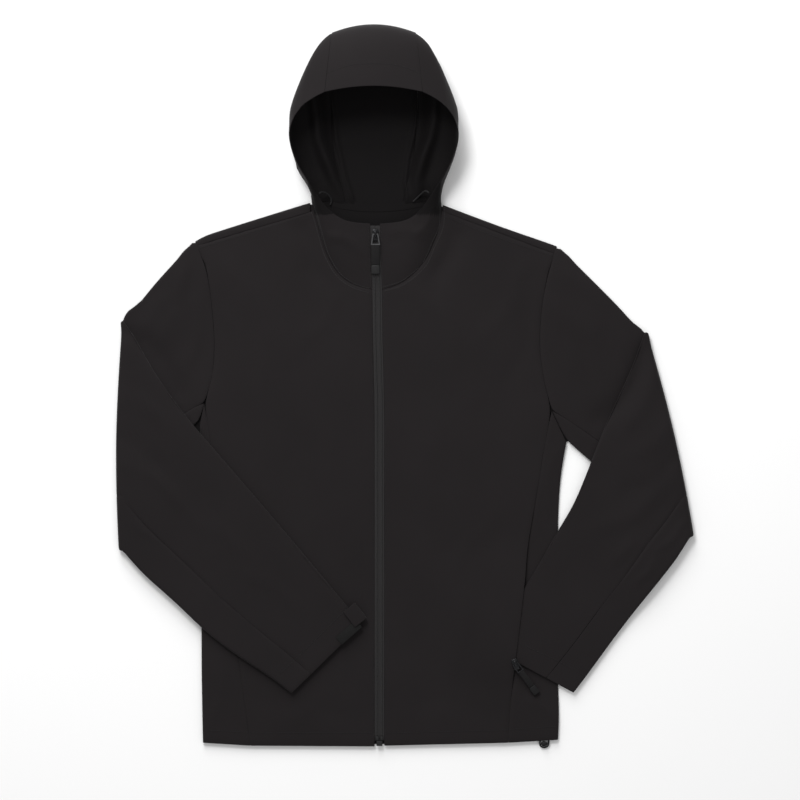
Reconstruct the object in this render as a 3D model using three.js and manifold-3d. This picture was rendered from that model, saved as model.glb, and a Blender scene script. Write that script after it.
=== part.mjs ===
// A hooded softshell jacket laid flat on its back: zip closed, both sleeves folded over at the elbow.
// Millimetres, +Z up. x runs to the wearer's left from the front zip, y from the hem to the hood.
// "right" and "left" are the wearer's. Each piece of cloth is one closed wall with its own name.
import * as THREE from 'three';
import * as BufferGeometryUtils from 'three/addons/utils/BufferGeometryUtils.js';
import Module from 'manifold-3d';

const wasm = await Module();
wasm.setup();

// Cloth and how its layers lie.
const CLOTH = 1.5;            // wall of the bonded cloth
const SEAM = 0.3;             // gap between two pieces at a seam
const BODY_HEIGHT = 6.4;      // top of the front above the surface
const FOLD_GAP = 1.0;         // space between upper arm and forearm at the elbow fold
const ZIP_HALF = 6.6;         // from the zip's middle to the edge of the front
const ROLL = BODY_HEIGHT / 2; // radius of the side and shoulder rolls
const ORIGIN = { x: 36.39, y: 489.75 }; // middle of the whole jacket, on the surface

const BLACK = { colour: 0x232122, roughness: 0.82, metalness: 0 };
const INSIDE = { colour: 0x191718, roughness: 0.9, metalness: 0 };
const ZIP_CLOTH = { colour: 0x2e2c2d, roughness: 0.7, metalness: 0 };
const GREY_METAL = { colour: 0x5a5a5c, roughness: 0.35, metalness: 0.9 };
const RUBBER = { colour: 0x2a2a2b, roughness: 0.55, metalness: 0 };

const jacket = new THREE.Group();
jacket.position.set(-ORIGIN.x, -ORIGIN.y, 0);

// Rows of a table, each as an object with the named columns.
function table(columns, rows) {
  const names = columns.split(' ');
  return rows.map((row) => Object.fromEntries(names.map((name, i) => [name, row[i]])));
}

const mix = (a, b, t) => a + (b - a) * t;
const rise = (from, to, v) => THREE.MathUtils.smoothstep(v, from, to);
const point = (x, y, z = 0) => new THREE.Vector3(x, y, z);

// The value at `at` of a polyline through rows that rise in column `key`.
function along(rows, key, value, at) {
  const next = Math.max(1, rows.findIndex((row) => row[key] >= at));
  const last = at > rows[rows.length - 1][key] ? rows.length - 1 : next;
  const a = rows[last - 1];
  const b = rows[last];
  return mix(a[value], b[value], THREE.MathUtils.clamp((at - a[key]) / (b[key] - a[key]), 0, 1));
}

// A closed wall between two grids of the same size: its outer face and its inner face.
function shell(outer, inner) {
  const rows = outer.length;
  const cols = outer[0].length;
  const points = [...outer.flat(), ...inner.flat()];
  const at = (layer, r, c) => layer * rows * cols + r * cols + c;
  const index = [];
  const quad = (a, b, c, d) => index.push(a, b, c, a, c, d);
  for (let r = 0; r < rows - 1; r++) {
    for (let c = 0; c < cols - 1; c++) {
      quad(at(0, r, c), at(0, r, c + 1), at(0, r + 1, c + 1), at(0, r + 1, c));
      quad(at(1, r, c), at(1, r + 1, c), at(1, r + 1, c + 1), at(1, r, c + 1));
    }
  }
  const rim = [];
  for (let c = 0; c < cols - 1; c++) rim.push([0, c]);
  for (let r = 0; r < rows - 1; r++) rim.push([r, cols - 1]);
  for (let c = cols - 1; c > 0; c--) rim.push([rows - 1, c]);
  for (let r = rows - 1; r > 0; r--) rim.push([r, 0]);
  rim.forEach(([r, c], i) => {
    const [nextR, nextC] = rim[(i + 1) % rim.length];
    quad(at(0, nextR, nextC), at(0, r, c), at(1, r, c), at(1, nextR, nextC));
  });
  return facingOut(points, index);
}

// Geometry from points and triangles, turned over if its faces point in.
function facingOut(points, index) {
  let volume = 0;
  for (let i = 0; i < index.length; i += 3) {
    const [a, b, c] = [points[index[i]], points[index[i + 1]], points[index[i + 2]]];
    volume += a.dot(b.clone().cross(c));
  }
  const geometry = new THREE.BufferGeometry();
  geometry.setAttribute('position', new THREE.Float32BufferAttribute(points.flatMap((p) => p.toArray()), 3));
  geometry.setIndex(volume < 0 ? index.toReversed() : index);
  return geometry;
}

function solidOf(geometry) {
  const bare = new THREE.BufferGeometry();
  bare.setAttribute('position', geometry.getAttribute('position').clone());
  if (geometry.index) bare.setIndex(geometry.index.clone());
  const merged = BufferGeometryUtils.mergeVertices(bare, 1e-4);
  return new wasm.Manifold(new wasm.Mesh({
    numProp: 3,
    vertProperties: merged.getAttribute('position').array,
    triVerts: Uint32Array.from(merged.index.array),
  }));
}

function joined(geometries) {
  const mesh = geometries.map(solidOf).reduce((a, b) => a.add(b)).getMesh();
  const geometry = new THREE.BufferGeometry();
  geometry.setAttribute('position', new THREE.BufferAttribute(Float32Array.from(mesh.vertProperties), 3));
  geometry.setIndex(new THREE.BufferAttribute(Uint32Array.from(mesh.triVerts), 1));
  return geometry;
}

function add(name, geometry, finish, place = (mesh) => mesh) {
  const material = new THREE.MeshStandardMaterial({
    color: finish.colour, roughness: finish.roughness, metalness: finish.metalness,
  });
  const mesh = new THREE.Mesh(geometry, material);
  mesh.name = name;
  place(mesh);
  jacket.add(mesh);
  return mesh;
}

// The zip's middle line: straight up to ZIP_LEANS, then leaning a little towards the wearer's right.
const ZIP_LEANS = 430;
const NECK_SEAM_Y = 620.5;
const ZIP_TOP_Y = 710;

// Body outline. One row for each section of a front, from the hem to the shoulder seam: its outer edge
// (front seam, then armhole) and its inner edge (zip, then neck seam).
const upCollar = (y) => (y - NECK_SEAM_Y) / (ZIP_TOP_Y - NECK_SEAM_Y);
const zipX = (y) => (y < NECK_SEAM_Y ? 2 - 3 * rise(ZIP_LEANS, NECK_SEAM_Y, y) : mix(-1, -4, upCollar(y)));
const FRONT_COLUMNS = 'outerX outerY innerX innerY';
const FRONT_RIGHT = table(FRONT_COLUMNS, [
  [-173, 1, 2 - ZIP_HALF, 0], [-187, 98, 2 - ZIP_HALF, 98], [-190, 120, 2 - ZIP_HALF, 120],
  [-208.5, 266, 2 - ZIP_HALF, 266], [-227, 413, 2 - ZIP_HALF, 413],
  [-232, 441, zipX(441) - ZIP_HALF, 441], [-236, 466, zipX(466) - ZIP_HALF, 466],
  [-226, 497, zipX(500) - ZIP_HALF, 500], [-222, 528, zipX(530) - ZIP_HALF, 530],
  [-222, 558, zipX(562) - ZIP_HALF, 562], [-226, 606, zipX(595) - ZIP_HALF, 595],
  [-233, 652, -7.6, 620.5], [-235.8, 657.6, -33.5, 626.5], [-238.6, 663.2, -52, 638.5],
  [-241.4, 668.8, -65, 658], [-243.3, 672.6, -74.3, 679], [-245.2, 676.4, -82.6, 713],
  [-247, 680, -87.2, 727.5],
]);
const FRONT_LEFT = table(FRONT_COLUMNS, [
  [177, 5, 2 + ZIP_HALF, 1], [178, 37, 2 + ZIP_HALF, 37], [180.5, 60, 2 + ZIP_HALF, 60],
  [182.5, 80, 2 + ZIP_HALF, 80], [184, 96, 2 + ZIP_HALF, 96],
  [187, 118, 2 + ZIP_HALF, 118], [194, 175, 2 + ZIP_HALF, 175], [201, 235, 2 + ZIP_HALF, 235],
  [202, 266, 2 + ZIP_HALF, 266], [210, 310, 2 + ZIP_HALF, 310], [219, 362, 2 + ZIP_HALF, 362],
  [229, 425, 2 + ZIP_HALF, 425], [236, 456, zipX(456) + ZIP_HALF, 456],
  [228, 485, zipX(485) + ZIP_HALF, 485], [221, 520, zipX(520) + ZIP_HALF, 520],
  [219, 556, zipX(556) + ZIP_HALF, 556], [222, 598, zipX(595) + ZIP_HALF, 595],
  [230, 640, 5.6, 620.5], [231.7, 644.8, 27.5, 626.5], [233.3, 649.7, 45, 638.5],
  [235, 654.5, 63, 658], [236.7, 659.3, 74.3, 679], [238.3, 664.2, 86, 713], [240, 669, 86.4, 727.5],
]);
const RIGHT_JUNCTION = 6;   // the row where the front seam meets the armhole
const LEFT_JUNCTION = 12;
// Side edge of the body, from the hem to the underarm.
const SIDE_RIGHT = table('x y', [[-238, 4], [-240, 14], [-240, 200], [-240, 400], [-242, 436]]);
const SIDE_LEFT = table('x y', [[245, 9], [247, 18], [245, 83], [244, 200], [244, 294], [247, 362],
  [256, 412]]);
// Shoulder line, from the neck out.
const SHOULDER_RIGHT = table('x y', [[-92.2, 739], [-160, 718], [-236, 694], [-249, 688.5]]);
const SHOULDER_LEFT = table('x y', [[88.2, 736], [166, 706], [226, 686], [243, 679.5]]);

// Where the left cuff is tucked into the hand pocket the side sinks under it and the front lifts over it.
const SUNK_HEIGHT = 3.3;
const POCKET = { high: 266, lift: 3.0, reach: 125 };
const CUFF_LINE = { x: 187, y: 118, dx: 0.869, dy: -0.495 };
const INNER_LINE = { x: 200, y: 216, dx: 0.521, dy: 0.853 };
const beside = (line, x, y) => (x - line.x) * line.dy - (y - line.y) * line.dx;
function sideHeight(x, y) {
  const covered = rise(-60, -18, beside(INNER_LINE, x, y)) * rise(-42, -16, -beside(CUFF_LINE, x, y));
  return mix(BODY_HEIGHT, SUNK_HEIGHT, x > 0 ? covered : 0);
}
function frontHeight(x, y) {
  const upTheOpening = rise(84, 108, y) * (1 - rise(236, POCKET.high, y));
  return BODY_HEIGHT + POCKET.lift * rise(POCKET.reach - 70, POCKET.reach + 12, x) * upTheOpening;
}

// A grid of points between the two edges of each row, pulled in by half a seam at both ends.
function spread(rows, cols, height) {
  return rows.map((row) => {
    const a = point(row.outerX, row.outerY);
    const b = point(row.innerX, row.innerY);
    const way = b.clone().sub(a).normalize();
    a.addScaledVector(way, SEAM / 2);
    b.addScaledVector(way, -SEAM / 2);
    return Array.from({ length: cols + 1 }, (_, c) => {
      const p = a.clone().lerp(b, c / cols);
      return p.setZ(height(p.x, p.y));
    });
  });
}
const lowered = (grid, drop) => grid.map((row) => row.map((p) => p.clone().setZ(p.z - drop)));

// Fronts: flat cloth from the zip to the front seam and the armhole.
function front(rows) {
  const face = spread(rows, 12, frontHeight);
  return shell(face, lowered(face, CLOTH));
}

// Side panels: from the front seam out to the side edge, round it, and back to the same seam underneath.
function side(rows, junction, edge, cols = 5) {
  const sections = rows.slice(0, junction + 1).map((row, r) => {
    const y = r === junction ? edge[edge.length - 1].y : Math.min(row.outerY + 4, edge[edge.length - 1].y - 8);
    return { outerX: row.outerX, outerY: row.outerY, innerX: along(edge, 'y', 'x', y), innerY: y };
  });
  sections[junction].outerY -= 0.8;
  const outer = [];
  const inner = [];
  for (const section of sections) {
    const out = Math.sign(section.innerX);
    const seam = point(section.outerX + out * SEAM / 2, section.outerY);
    const rim = point(section.innerX, section.innerY);
    const height = sideHeight(rim.x, rim.y);
    const way = rim.clone().sub(seam).normalize();
    const turn = rim.clone().addScaledVector(way, -height / 2);
    const face = Array.from({ length: cols + 1 }, (_, c) => seam.clone().lerp(turn, c / cols));
    const row = (sink) => [
      ...face.map((p) => p.clone().setZ(sideHeight(p.x, p.y) - sink)),
      ...[60, 30, 0, -30, -60].map((angle) => {
        const radius = height / 2 - sink;
        const a = THREE.MathUtils.degToRad(angle);
        return turn.clone().addScaledVector(way, radius * Math.cos(a)).setZ(height / 2 + radius * Math.sin(a));
      }),
      ...face.map((p) => p.clone().setZ(sink)).toReversed(),
    ];
    outer.push(row(0));
    inner.push(row(CLOTH));
  }
  return shell(outer, inner);
}

// Back: one flat piece whose shoulders roll forward to the shoulder seam.
function back() {
  const edgeOf = (rows, out) => rows.map((row) => [row.outerX - out * SEAM / 2, row.outerY]);
  const shoulderIn = (line) => line.map((p) => [p.x, p.y - ROLL]);
  const neck = [[-76, 738.5], [-44, 733], [-25, 730.6], [-5, 729.8], [15, 730.6], [34, 733], [66, 738]];
  const outline = [
    ...edgeOf(FRONT_LEFT, 1), ...shoulderIn(SHOULDER_LEFT).toReversed(), ...neck.toReversed(),
    ...shoulderIn(SHOULDER_RIGHT), ...edgeOf(FRONT_RIGHT, -1).toReversed(),
  ];
  const shape = new THREE.Shape(outline.map(([x, y]) => new THREE.Vector2(x, y)));
  const flat = new THREE.ExtrudeGeometry(shape, { depth: CLOTH, bevelEnabled: false });
  return joined([flat, shoulder(SHOULDER_RIGHT, FRONT_RIGHT), shoulder(SHOULDER_LEFT, FRONT_LEFT)]);
}

function shoulder(line, frontRows) {
  const seam = frontRows[frontRows.length - 1];
  const seamX = (x) => Math.sign(x) * Math.min(Math.abs(x), Math.abs(seam.outerX));
  const seamY = (x) => mix(seam.outerY, seam.innerY, (x - seam.outerX) / (seam.innerX - seam.outerX));
  const rows = (sink) => line.map(({ x, y }) => {
    const centre = point(x, y - ROLL, ROLL);
    const arc = [-90, -60, -30, 0, 30, 60, 90].map((angle) => {
      const a = THREE.MathUtils.degToRad(angle);
      return centre.clone().add(point(0, (ROLL - sink) * Math.cos(a), (ROLL - sink) * Math.sin(a)));
    });
    return [
      point(x, y - ROLL - 1.5, sink), ...arc, point(seamX(x), seamY(seamX(x)) + SEAM, BODY_HEIGHT - sink),
    ];
  });
  return shell(rows(0), rows(CLOTH));
}

add('back_panel', back(), BLACK);
add('front_right', front(FRONT_RIGHT), BLACK);
add('front_left', front(FRONT_LEFT), BLACK);
add('side_right', side(FRONT_RIGHT, RIGHT_JUNCTION, SIDE_RIGHT), BLACK);
add('side_left', side(FRONT_LEFT, LEFT_JUNCTION, SIDE_LEFT), BLACK);

// Sleeves. Along the armhole, from the shoulder to the underarm, v is the share of the sleeve's width.
const SLEEVE_RIGHT = {
  armhole: table('x y v', [
    [-253, 683.5, 0], [-247.3, 680.1, 0.03], [-233.4, 652, 0.14], [-226.4, 606, 0.31],
    [-222.4, 558, 0.48], [-222.4, 528, 0.58], [-226.3, 497, 0.69], [-232.4, 478.4, 0.76],
    [-236.4, 466, 0.81], [-239, 456, 0.86], [-242.2, 447, 0.92], [-246, 441, 1],
  ]),
  frontSeam: 8,   // columns of the armhole table where the two sleeve pieces meet
  backSeam: 7,
  cuffEase: 1.2,  // how far the back seam has moved across by the cuff
  upper: table('topX topY lowX lowY bow', [
    [-253, 683.5, -246, 441, 1], [-264, 672, -257, 429, 0.7], [-285, 649, -277, 406, 0.35],
    [-315, 616, -309, 364, 0.1],
  ]),
  fold: { topX: -341.1, topY: 576, lowX: -346.1, lowY: 266, bulge: 6, outX: -1, outY: 0 },
  fore: table('topX topY lowX lowY low height', [
    [-304, 507, -322, 236, 7.4, 6.4], [-265, 453, -288, 207, 7.4, 6.4], [-229, 411.5, -262, 183, 7.4, 6.4],
    [-193, 370, -232, 153, 7.4, 6.4], [-121, 286, -190, 122, 7.4, 6.4], [-75, 230.5, -160, 103, 7.4, 6.4],
    [-46, 196, -139, 89, 7.4, 6.4], [-22, 166, -118, 72, 7.4, 6.4],
  ]),
};
const SLEEVE_LEFT = {
  armhole: table('x y v', [
    [248.5, 675, 0], [240.4, 668.9, 0.04], [230.4, 640, 0.16], [222.4, 598, 0.32], [219.4, 556, 0.47],
    [221.4, 520, 0.6], [228.4, 485, 0.73], [234.8, 463.3, 0.8], [236.7, 456, 0.83], [243.6, 441.5, 0.89],
    [250.4, 427.2, 0.94], [260, 413, 1],
  ]),
  frontSeam: 8,
  backSeam: 7,
  cuffEase: 1.65,
  upper: table('topX topY lowX lowY bow', [
    [248.5, 675, 260, 413, 1], [268, 657, 276, 398, 0.6], [300, 625, 312, 368, 0.3],
    [335, 590, 365, 331, 0.1],
  ]),
  fold: { topX: 360.3, topY: 558, lowX: 423.3, lowY: 284, bulge: 5, outX: 0.975, outY: 0.225 },
  fore: table('topX topY lowX lowY low height', [
    [346, 516, 408, 258, 7.4, 6.4], [324, 470, 398, 245, 7.4, 6.4], [307, 433, 388, 232, 7.4, 6.4],
    [288, 384, 372, 212, 7.4, 6.4], [267, 329, 354, 190, 5.5, 5], [245, 295, 335, 166, 3.6, 3.6],
    [225, 258, 312, 135, 3.6, 3.6], [200, 216, 294, 110, 3.6, 3.6], [172, 176, 280, 91, 3.6, 3.6],
    [145, 137, 266, 73, 3.6, 3.6],
  ]),
};

// The sleeve's flattened tube, section by section: the points of one face and how the section stands.
function sections(sleeve) {
  const { armhole, upper, fold, fore, cuffEase } = sleeve;
  const first = upper[0];
  const across = (row, v) => point(mix(row.topX, row.lowX, v), mix(row.topY, row.lowY, v));
  const bows = armhole.map(({ x, y, v }) => point(x, y).sub(across(first, v)));
  const centre = BODY_HEIGHT + FOLD_GAP / 2;
  const out = point(fold.outX, fold.outY);
  const list = upper.map((row) => ({
    face: armhole.map(({ v }, j) => across(row, v).addScaledVector(bows[j], row.bow)),
    height: BODY_HEIGHT, lift: (p) => p,
  }));
  for (const angle of [0, 45, 90, 135, 180]) {
    const turn = THREE.MathUtils.degToRad(angle);
    list.push({
      face: armhole.map(({ v }) => across(fold, v).addScaledVector(out, fold.bulge * Math.sin(Math.PI * v))),
      height: BODY_HEIGHT,
      lift: (p) => {
        const arm = centre - p.z;
        return p.addScaledVector(out, arm * Math.sin(turn)).setZ(centre - arm * Math.cos(turn));
      },
    });
  }
  fore.forEach((row, i) => {
    const ease = mix(1, cuffEase, (i + 1) / fore.length);
    const bulge = fold.bulge * 0.5 * Math.max(0, 1 - i / 2);
    list.push({
      face: armhole.map(({ v }) => across(row, v ** ease).addScaledVector(out, bulge * Math.sin(Math.PI * v))),
      height: row.height, lift: (p) => p.setZ(row.low + row.height - p.z),
    });
  });
  return list;
}

// One of the sleeve's two pieces: from its front seam round the edge at `end` to its back seam.
function sleevePiece(sleeve, end) {
  const last = sleeve.armhole.length - 1;
  const step = end === 'top' ? -1 : 1;
  const stop = end === 'top' ? 0 : last;
  const grid = (sink) => sections(sleeve).map(({ face, height, lift }) => {
    const turnAt = face[stop];
    const way = turnAt.clone().sub(face[stop - step]).normalize();
    const turn = turnAt.clone().addScaledVector(way, -height / 2);
    const strip = [];
    const put = (p, z) => strip.push(lift(p.clone().setZ(z)));
    const seamPull = (p) => p.clone().addScaledVector(way, SEAM / 2);
    for (let j = sleeve.frontSeam; j !== stop; j += step) {
      put(j === sleeve.frontSeam ? seamPull(face[j]) : face[j], height - sink);
    }
    for (const angle of [90, 50, 0, -50, -90]) {
      const a = THREE.MathUtils.degToRad(angle);
      const radius = height / 2 - sink;
      put(turn.clone().addScaledVector(way, radius * Math.cos(a)), height / 2 + radius * Math.sin(a));
    }
    for (let j = stop - step; j !== sleeve.backSeam; j -= step) put(face[j], sink);
    put(seamPull(face[sleeve.backSeam]), sink);
    return strip;
  });
  return shell(grid(0), grid(CLOTH));
}

for (const [side, sleeve] of [['right', SLEEVE_RIGHT], ['left', SLEEVE_LEFT]]) {
  add(`sleeve_${side}_top`, sleevePiece(sleeve, 'top'), BLACK);
  add(`sleeve_${side}_under`, sleevePiece(sleeve, 'low'), BLACK);
}

// Hood and collar. One row for each line drawn across the cloth, from the front zip round the neck seam to
// the back, then up the back of the hood and over the crown to the brim. Widths are from the middle line.
// start: on the neck seam, or on the seam with the middle piece. rim: on the edge of the opening.
const HOOD = table('startX startW startY startZ midW midY midZ rimX rimW rimY rimZ', [
  [-1, 6.6, 620.5, 6.4, 6.6, 665, 11, -4, 6.6, 710, 14],
  [-3, 30.5, 626.5, 6.4, 33, 668, 12.5, -4, 34, 711.5, 15],
  [-3.5, 48.5, 638.5, 6.4, 50, 677, 14, -3, 50, 718, 17],
  [-1, 64, 658, 6.4, 64.5, 694, 15, -4.5, 63, 729, 20],
  [0, 74.3, 679, 6.4, 73.5, 712, 16, -5, 74, 743, 24],
  [1.7, 84.3, 713, 6.4, 83, 735, 17, -5.3, 85, 759, 28],
  [-1.8, 88.5, 737.5, 5.4, 90, 757, 18, -5.4, 98, 779, 34],
  [-5, 70, 741.5, 0, 98, 772, 15, -5.4, 107, 796, 39],
  [-5.4, 39, 735.5, 0, 97, 790, 12, -5.4, 113, 815, 44],
  [-5.4, 48, 775, 0, 100, 806, 14, -5.4, 115, 831, 49],
  [-5.4, 57, 824, 0, 106, 838, 20, -5.4, 112, 843, 53],
  [-5.4, 59, 880, 0, 108, 870, 28, -5.4, 108, 852, 56],
  [-5.4, 59, 930, 6, 97, 908, 36, -5.4, 105, 856.5, 58],
  [-5.4, 57, 968, 28, 84, 935, 46, -5.4, 102, 860.5, 60],
  [-5.4, 59, 950, 56, 82, 915, 57, -5.4, 99, 864, 62],
  [-5.4, 66, 885, 69, 82, 877, 66.5, -5.4, 95, 868, 63.5],
]);
const BACK_NECK = 8; // the row of HOOD where the middle piece starts
// Middle line of the middle piece, from the back neck to the brim.
const HOOD_MIDDLE = table('y z', [[731.5, 0], [775, 0], [824, 0], [884, 0], [938, 4], [979.5, 30],
  [958, 61], [893, 73]]);
const HOOD_COLS = 8;

// Smooth value of a column between rows, at t rows from the first.
function between(rows, key, t) {
  const i = Math.min(Math.floor(t), rows.length - 2);
  const value = (k) => rows[THREE.MathUtils.clamp(k, 0, rows.length - 1)][key];
  const [a, b, c, d] = [value(i - 1), value(i), value(i + 1), value(i + 2)];
  const f = t - i;
  return b + 0.5 * f * (c - a + f * (2 * a - 5 * b + 4 * c - d + f * (3 * (b - c) + d - a)));
}

// All points of the hood's outer face: each row runs from the rim at the right to the rim at the left.
// Rows before the back neck have nothing in the middle.
function hoodPoints() {
  const steps = [];
  for (let i = 0; i < HOOD.length - 1; i++) steps.push(i, ...(i >= BACK_NECK ? [i + 0.5] : []));
  steps.push(HOOD.length - 1);
  return steps.map((t) => {
    const row = Object.fromEntries(Object.keys(HOOD[0]).map((key) => [key, between(HOOD, key, t)]));
    const sideOf = (sign) => Array.from({ length: HOOD_COLS + 1 }, (_, c) => {
      const f = c / HOOD_COLS;
      const curve = (a, m, b) => a * (1 - f) * (1 - 2 * f) + m * 4 * f * (1 - f) + b * f * (2 * f - 1);
      const x = mix(row.startX, row.rimX, f) + sign * curve(row.startW, row.midW, row.rimW);
      return point(x, curve(row.startY, row.midY, row.rimY),
        Math.max(0, curve(row.startZ, row.midZ, row.rimZ)));
    });
    let middle = Array(HOOD_COLS - 1).fill(null);
    if (t >= BACK_NECK) {
      const y = between(HOOD_MIDDLE, 'y', t - BACK_NECK);
      const z = between(HOOD_MIDDLE, 'z', t - BACK_NECK);
      middle = middle.map((_, c) => {
        const f = 2 * (c + 1) / HOOD_COLS - 1;
        return point(row.startX + f * row.startW, mix(y, row.startY, f * f),
          Math.max(0, mix(z, row.startZ, f * f)));
      });
    }
    return [...sideOf(-1).toReversed(), ...middle, ...sideOf(1)];
  });
}

// The same points moved in by the cloth's thickness.
function movedIn(grid, depth) {
  return grid.map((row, r) => row.map((p, c) => {
    if (!p) return null;
    const near = (dr, dc) => grid[r + dr]?.[c + dc] ?? p;
    const across = near(0, 1).clone().sub(near(0, -1));
    const onward = near(1, 0).clone().sub(near(-1, 0));
    const normal = across.cross(onward).normalize();
    return p.clone().addScaledVector(normal, depth);
  }));
}

// Columns `from` to `to` of both faces, drawn in by half a seam at an end that is sewn.
function hoodPiece(outer, inner, from, to, firstRow, sewnFrom, sewnTo) {
  const cut = (grid) => grid.slice(firstRow).map((row) => {
    const part = row.slice(from, to + 1).map((p) => p.clone());
    const last = part.length - 1;
    const draw = (a, b) => a.addScaledVector(b.clone().sub(a).normalize(), SEAM / 2 + 0.05);
    if (sewnFrom) draw(part[0], part[1]);
    if (sewnTo) draw(part[last], part[last - 1]);
    return part;
  });
  return shell(cut(outer), cut(inner));
}

const hoodOuter = hoodPoints();
const hoodInner = movedIn(hoodOuter, CLOTH);
const rightSeam = HOOD_COLS;
const leftSeam = 2 * HOOD_COLS;
add('hood_side_right', hoodPiece(hoodOuter, hoodInner, 0, rightSeam, 0, false, true), BLACK);
add('hood_centre', hoodPiece(hoodOuter, hoodInner, rightSeam, leftSeam, BACK_NECK, true, true), BLACK);
add('hood_side_left', hoodPiece(hoodOuter, hoodInner, leftSeam, 3 * HOOD_COLS, 0, true, false), BLACK);

// Front zip: two woven tapes that meet on the middle line, held at the hem by two stops and a box.
const ZIP_TAPE = 1.1;      // thickness
const ZIP_SET_BACK = 0.4;  // how far the tapes lie below the cloth beside them
const zipHeight = (y) => {
  const f = THREE.MathUtils.clamp(upCollar(y), 0, 1);
  const { startZ, midZ, rimZ } = HOOD[0];
  return startZ * (1 - f) * (1 - 2 * f) + midZ * 4 * f * (1 - f) + rimZ * f * (2 * f - 1) - ZIP_SET_BACK;
};
function zipTape(sign) {
  const heights = [8, 413, 441, 466, 485, 500, 520, 530, 556, 562, 595, 620.5, 633, 647, 661, 675, 690, 707];
  const face = heights.map((y) => [SEAM / 2, ZIP_HALF - SEAM].map(
    (x) => point(zipX(y) + sign * x, y, zipHeight(y))));
  return shell(face, lowered(face, ZIP_TAPE));
}

// A flat plate of the given outline, from its lower face up.
function plate(outline, thickness) {
  const shape = new THREE.Shape(outline.map(([x, y]) => new THREE.Vector2(x, y)));
  return new THREE.ExtrudeGeometry(shape, { depth: thickness, bevelEnabled: false });
}
const cornered = (w, l, cut) => [
  [-w / 2 + cut, 0], [w / 2 - cut, 0], [w / 2, -cut], [w / 2, -l + cut], [w / 2 - cut, -l],
  [-w / 2 + cut, -l], [-w / 2, -l + cut], [-w / 2, -cut],
];

// Slider: a body with a bridge over it. The pull's bail goes through the bridge and turns there.
// Its frame has the hinge line at the origin, the pull towards -Y and the zip below.
const SLIDER = {
  width: 9, front: 8.5, back: 6.5, body: 1.9, hinge: 1.7,
  bridgeWidth: 2.8, bridgeLength: 7.8, bridgeTop: 2.8, bridgeBar: 1.2, post: 1.6, postSunk: 0.5,
};
function slider() {
  const { width, front, back, body, hinge, bridgeWidth, bridgeLength, bridgeTop, bridgeBar, post } = SLIDER;
  const low = -hinge - body;
  const base = plate([
    [-width / 2 + 1.5, back], [width / 2 - 1.5, back], [width / 2, back - 2], [width / 2 - 1, -front],
    [-width / 2 + 1, -front], [-width / 2, back - 2],
  ].toReversed(), body).translate(0, 0, low);
  const postHeight = bridgeTop - bridgeBar / 2 + hinge + SLIDER.postSunk;
  const postAt = (sign) => new THREE.BoxGeometry(bridgeWidth, post, postHeight)
    .translate(0, sign * (bridgeLength - post) / 2, postHeight / 2 - hinge - SLIDER.postSunk);
  const bar = new THREE.BoxGeometry(bridgeWidth, bridgeLength, bridgeBar)
    .translate(0, 0, bridgeTop - bridgeBar / 2);
  return joined([base, postAt(1), postAt(-1), bar]);
}

// Pull: metal bail, woven tape and moulded end, one after another along -Y.
const PULL = { wire: 1.5, wireHeight: 1.4, tape: 1.2, tapeCorner: 0.6, end: 3, endCorner: 1.2 };
function pullPieces({ bailTop, bailEnd, bailLength, tapeWidth, tapeLength, endWidth, endLength }) {
  const { wire, wireHeight } = PULL;
  const bar = (width, y) => new THREE.BoxGeometry(width, wire, wireHeight).translate(0, y, 0);
  const arm = (sign) => plate([
    [bailTop / 2, wire / 2], [bailTop / 2 - wire, wire / 2], [bailEnd / 2 - wire, -bailLength],
    [bailEnd / 2, -bailLength],
  ].map(([x, y]) => [sign * x, y]), wireHeight).translate(0, 0, -wireHeight / 2);
  const bail = joined([bar(bailTop, 0), bar(bailEnd, wire / 2 - bailLength), arm(1), arm(-1)]);
  const tapeStart = -bailLength - SEAM;
  const endStart = tapeStart - tapeLength - SEAM;
  const tape = plate(cornered(tapeWidth, tapeLength, PULL.tapeCorner), PULL.tape)
    .translate(0, tapeStart, -PULL.tape / 2);
  const end = plate(cornered(endWidth, endLength, PULL.endCorner), PULL.end)
    .translate(0, endStart, -PULL.end / 2);
  return { bail, tape, end };
}

const FRONT_PULL = {
  x: -3.4, y: 695.5, z: 16.8, turn: 0, dip: 6.6, bailTop: 7.5, bailEnd: 12.5, bailLength: 14.5,
  tapeWidth: 11.5, tapeLength: 27, endWidth: 11.3, endLength: 12,
};
const POCKET_PULL = {
  x: 186.5, y: 112.5, z: 13.3, turn: 36, dip: 6.2, bailTop: 8.5, bailEnd: 9.5, bailLength: 13,
  tapeWidth: 8, tapeLength: 25, endWidth: 9.5, endLength: 12,
};
for (const [name, pull] of [['zip', FRONT_PULL], ['pocket', POCKET_PULL]]) {
  const place = (dip, turn) => (mesh) => {
    mesh.position.set(pull.x, pull.y, pull.z);
    mesh.rotation.set(THREE.MathUtils.degToRad(dip), 0, THREE.MathUtils.degToRad(turn), 'ZYX');
  };
  const { bail, tape, end } = pullPieces(pull);
  add(`${name}_slider`, slider(), GREY_METAL, place(0, pull.turn / 2));
  add(`${name}_pull_bail`, bail, GREY_METAL, place(pull.dip, pull.turn));
  add(`${name}_pull_tape`, tape, ZIP_CLOTH, place(pull.dip, pull.turn));
  add(`${name}_pull_end`, end, RUBBER, place(pull.dip, pull.turn));
}
add('zip_tape_right', zipTape(-1), ZIP_CLOTH);
add('zip_tape_left', zipTape(1), ZIP_CLOTH);
const STOP = { width: 3.4, length: 5, thickness: 1.5, x: 2.9, y: 11 };
for (const [side, sign] of [['right', -1], ['left', 1]]) {
  const stop = new THREE.BoxGeometry(STOP.width, STOP.length, STOP.thickness);
  stop.translate(zipX(0) + sign * STOP.x, STOP.y, BODY_HEIGHT - ZIP_SET_BACK + SEAM + STOP.thickness / 2);
  add(`zip_stop_${side}`, stop, ZIP_CLOTH);
}
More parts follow.
